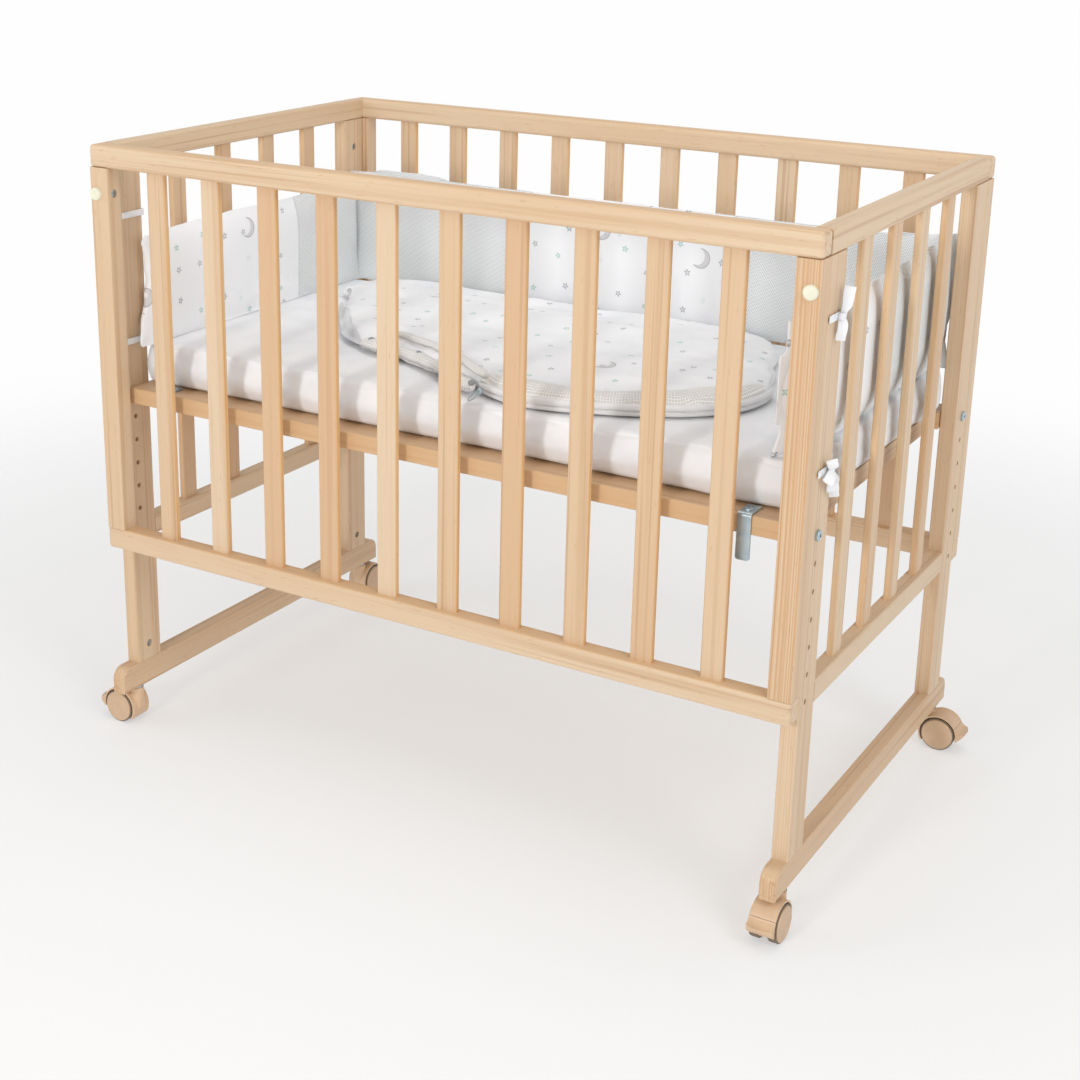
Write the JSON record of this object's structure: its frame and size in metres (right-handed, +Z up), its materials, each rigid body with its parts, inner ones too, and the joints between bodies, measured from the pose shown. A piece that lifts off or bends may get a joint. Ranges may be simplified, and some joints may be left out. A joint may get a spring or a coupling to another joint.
{
  "type": "bedside sleeper crib",
  "caption": "Slatted wooden bedside crib on braked twin-wheel casters, with a removable front side, a height-set mattress base, padded bumper and sleeping bag.",
  "frame": {"origin": "on the floor under the middle of the crib", "axes": "+X towards the right end, +Y towards the back panel, +Z up; the removable panel faces -Y"},
  "size_m": [1.05, 0.642, 0.797],
  "materials": {
    "rail_wood": "clear matt lacquer",
    "slat_wood": "clear matt lacquer",
    "wood_pin": "plain",
    "zinc_steel": "zinc plated",
    "cream_plastic": "satin",
    "caster_plastic": "satin",
    "wheel_plastic": "satin, grey tread",
    "mattress_cover": "plain woven cotton",
    "bumper_cotton": "printed cotton and mesh",
    "bag_cotton": "printed jersey, waffle border",
    "ribbon": "woven tape"
  },
  "bodies": {
    "frame": {"back_bottom_rail": "rail_wood", "back_posts": "rail_wood", "back_slats": "slat_wood", "back_top_rail": "rail_wood", "caster_stems": "zinc_steel", "end_bottom_rail_left": "rail_wood", "end_bottom_rail_right": "rail_wood", "end_slats": "slat_wood", "end_top_rail_left": "rail_wood", "end_top_rail_right": "rail_wood", "foot_rail_left": "rail_wood", "foot_rail_right": "rail_wood", "frame_barrel_nuts": "zinc_steel", "frame_bolts": "zinc_steel", "front_panel_pins": "wood_pin", "leg_back_left": "rail_wood", "leg_back_right": "rail_wood", "leg_front_left": "rail_wood", "leg_front_right": "rail_wood"},
    "front_panel": {"front_barrel_nuts": "zinc_steel", "front_bolt_caps": "cream_plastic", "front_bottom_rail": "rail_wood", "front_post_left": "rail_wood", "front_post_right": "rail_wood", "front_slats": "slat_wood", "front_top_rail": "rail_wood"},
    "mattress_base": {"base_back_rail": "rail_wood", "base_barrel_nuts": "zinc_steel", "base_bolts": "zinc_steel", "base_end_rails": "rail_wood", "base_front_rail": "rail_wood", "base_slats": "slat_wood", "bumper_back": "bumper_cotton", "bumper_left": "bumper_cotton", "bumper_right": "bumper_cotton", "bumper_ties": "ribbon", "hook_brackets": "zinc_steel", "hook_screws": "zinc_steel", "mattress": "mattress_cover", "sleeping_bag": "bag_cotton"},
    "caster_fl": {"caster_fl_housing": "caster_plastic", "caster_fl_axle": "zinc_steel"},
    "caster_fl_wheel_a": {"caster_fl_wheel_a": "wheel_plastic"},
    "caster_fl_wheel_b": {"caster_fl_wheel_b": "wheel_plastic"},
    "caster_fl_brake": {"caster_fl_brake_lever": "caster_plastic"},
    "caster_fr": {"caster_fr_housing": "caster_plastic", "caster_fr_axle": "zinc_steel"},
    "caster_fr_wheel_a": {"caster_fr_wheel_a": "wheel_plastic"},
    "caster_fr_wheel_b": {"caster_fr_wheel_b": "wheel_plastic"},
    "caster_fr_brake": {"caster_fr_brake_lever": "caster_plastic"},
    "caster_bl": {"caster_bl_housing": "caster_plastic", "caster_bl_axle": "zinc_steel"},
    "caster_bl_wheel_a": {"caster_bl_wheel_a": "wheel_plastic"},
    "caster_bl_wheel_b": {"caster_bl_wheel_b": "wheel_plastic"},
    "caster_bl_brake": {"caster_bl_brake_lever": "caster_plastic"},
    "caster_br": {"caster_br_housing": "caster_plastic", "caster_br_axle": "zinc_steel"},
    "caster_br_wheel_a": {"caster_br_wheel_a": "wheel_plastic"},
    "caster_br_wheel_b": {"caster_br_wheel_b": "wheel_plastic"},
    "caster_br_brake": {"caster_br_brake_lever": "caster_plastic"}
  },
  "joints": [
    {"name": "front_panel_removal", "type": "slide", "parent": "frame", "child": "front_panel", "axis": [0, -1, 0], "range_m": [0, 0.25]},
    {"name": "mattress_height", "type": "slide", "parent": "frame", "child": "mattress_base", "axis": [0, 0, 1], "range_m": [-0.192, 0]},
    {"name": "caster_fl_swivel", "type": "hinge", "parent": "frame", "child": "caster_fl", "pos_m": [-0.47, -0.266, 0.0225], "axis": [0, 0, 1], "continuous": true},
    {"name": "caster_fl_roll_a", "type": "hinge", "parent": "caster_fl", "child": "caster_fl_wheel_a", "pos_m": [-0.489, -0.266, 0.0225], "axis": [0, -1, 0], "continuous": true},
    {"name": "caster_fl_roll_b", "type": "hinge", "parent": "caster_fl", "child": "caster_fl_wheel_b", "pos_m": [-0.489, -0.266, 0.0225], "axis": [0, -1, 0], "continuous": true},
    {"name": "caster_fl_brake_press", "type": "hinge", "parent": "caster_fl", "child": "caster_fl_brake", "pos_m": [-0.489, -0.266, 0.0225], "axis": [0, -1, 0], "range_deg": [0, 18]},
    {"name": "caster_fr_swivel", "type": "hinge", "parent": "frame", "child": "caster_fr", "pos_m": [0.47, -0.266, 0.0225], "axis": [0, 0, 1], "continuous": true},
    {"name": "caster_fr_roll_a", "type": "hinge", "parent": "caster_fr", "child": "caster_fr_wheel_a", "pos_m": [0.47, -0.285, 0.0225], "axis": [1, 0, 0], "continuous": true},
    {"name": "caster_fr_roll_b", "type": "hinge", "parent": "caster_fr", "child": "caster_fr_wheel_b", "pos_m": [0.47, -0.285, 0.0225], "axis": [1, 0, 0], "continuous": true},
    {"name": "caster_fr_brake_press", "type": "hinge", "parent": "caster_fr", "child": "caster_fr_brake", "pos_m": [0.47, -0.285, 0.0225], "axis": [1, 0, 0], "range_deg": [0, 18]},
    {"name": "caster_bl_swivel", "type": "hinge", "parent": "frame", "child": "caster_bl", "pos_m": [-0.47, 0.266, 0.0225], "axis": [0, 0, 1], "continuous": true},
    {"name": "caster_bl_roll_a", "type": "hinge", "parent": "caster_bl", "child": "caster_bl_wheel_a", "pos_m": [-0.47, 0.285, 0.0225], "axis": [-1, 0, 0], "continuous": true},
    {"name": "caster_bl_roll_b", "type": "hinge", "parent": "caster_bl", "child": "caster_bl_wheel_b", "pos_m": [-0.47, 0.285, 0.0225], "axis": [-1, 0, 0], "continuous": true},
    {"name": "caster_bl_brake_press", "type": "hinge", "parent": "caster_bl", "child": "caster_bl_brake", "pos_m": [-0.47, 0.285, 0.0225], "axis": [-1, 0, 0], "range_deg": [0, 18]},
    {"name": "caster_br_swivel", "type": "hinge", "parent": "frame", "child": "caster_br", "pos_m": [0.47, 0.266, 0.0225], "axis": [0, 0, 1], "continuous": true},
    {"name": "caster_br_roll_a", "type": "hinge", "parent": "caster_br", "child": "caster_br_wheel_a", "pos_m": [0.489, 0.266, 0.0225], "axis": [0, 1, 0], "continuous": true},
    {"name": "caster_br_roll_b", "type": "hinge", "parent": "caster_br", "child": "caster_br_wheel_b", "pos_m": [0.489, 0.266, 0.0225], "axis": [0, 1, 0], "continuous": true},
    {"name": "caster_br_brake_press", "type": "hinge", "parent": "caster_br", "child": "caster_br_brake", "pos_m": [0.489, 0.266, 0.0225], "axis": [0, 1, 0], "range_deg": [0, 18]}
  ]
}
